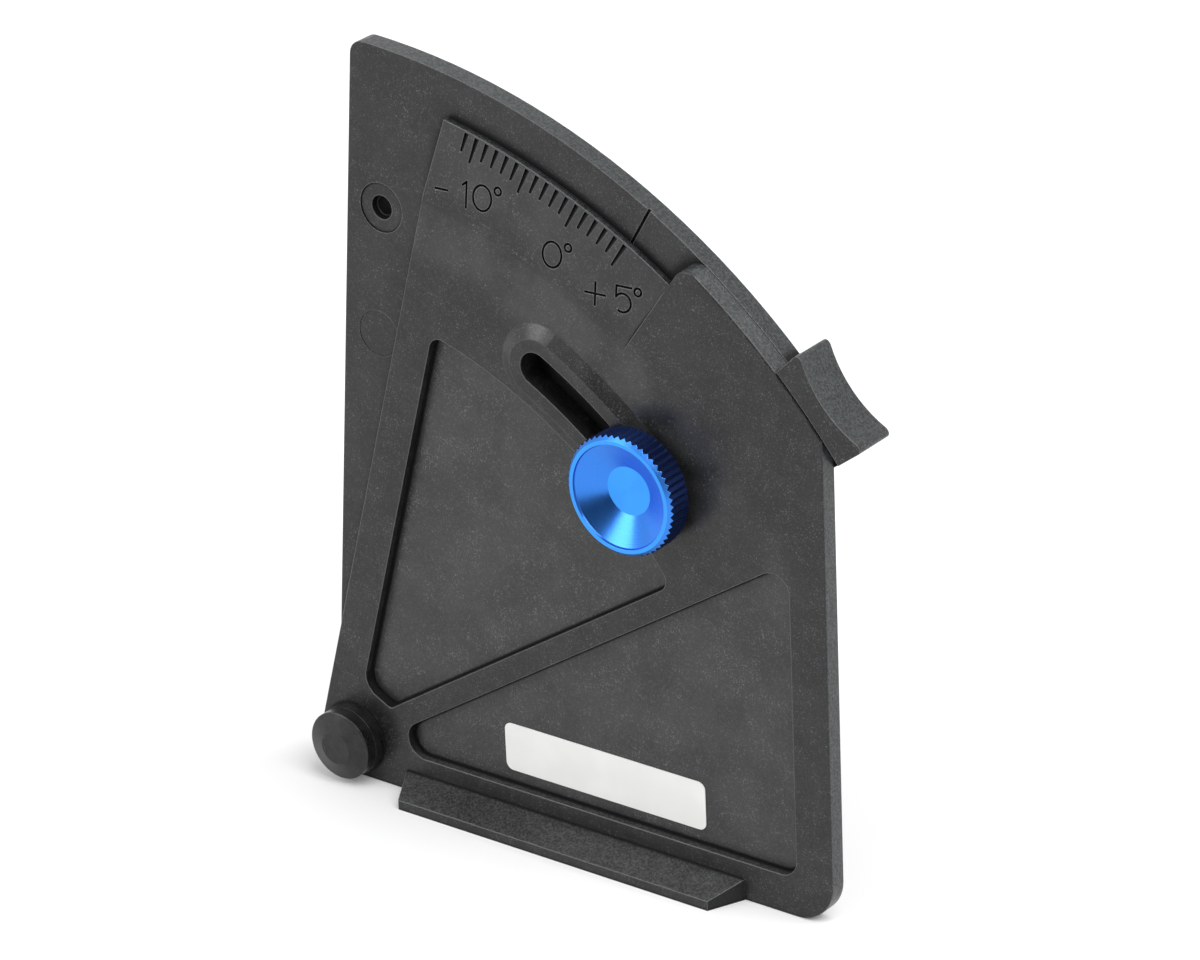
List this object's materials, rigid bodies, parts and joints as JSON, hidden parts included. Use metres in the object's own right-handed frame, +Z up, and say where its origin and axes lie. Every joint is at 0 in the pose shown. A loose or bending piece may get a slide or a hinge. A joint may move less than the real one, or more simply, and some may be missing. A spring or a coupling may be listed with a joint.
{
  "type": "camber caster gauge",
  "caption": "Upright hand gauge: a measuring plate swings behind a base plate with a degree scale and is clamped by a knurled thumb screw in an arched slot.",
  "frame": {"origin": "middle of the foot ledges' length, on the bottom face that the gauge stands on, half way through the base plate's thickness", "axes": "+Z up; +X to the right along the foot, seen from the front; the scale, the knob and the front face look towards -Y"},
  "size_m": [0.089, 0.0137, 0.1055],
  "materials": {
    "black_nylon": "moulded, fibre-filled, slightly mottled",
    "black_pin": "moulded, satin",
    "zinc_steel": "zinc plated",
    "blue_anodised": "blue anodised, turned",
    "white_label": "blank sticker"
  },
  "bodies": {
    "base": {"base_plate": "black_nylon", "pivot_pin": "black_pin", "pivot_washer": "zinc_steel", "pivot_screw": "zinc_steel", "label": "white_label"},
    "swing": {"swing_plate": "black_nylon", "clamp_nut": "zinc_steel"},
    "washer": {"clamp_washer": "zinc_steel"},
    "knob": {"clamp_knob": "blue_anodised", "clamp_stud": "zinc_steel"}
  },
  "joints": [
    {"name": "swing", "type": "hinge", "parent": "base", "child": "swing", "pos_m": [-0.0363, 0, 0.00575], "axis": [0, -1, 0], "range_deg": [0, 16.1]},
    {"name": "clamp_back_off", "type": "slide", "parent": "swing", "child": "washer", "axis": [0, -1, 0], "range_m": [0, 0.00105]},
    {"name": "knob_turn", "type": "hinge", "parent": "washer", "child": "knob", "pos_m": [0.01413, 0, 0.05601], "axis": [0, -1, 0], "range_deg": [0, 541]}
  ],
  "couplings": [
    {"joint": "knob_turn", "follows": "clamp_back_off", "rad_per_m": 8976}
  ]
}
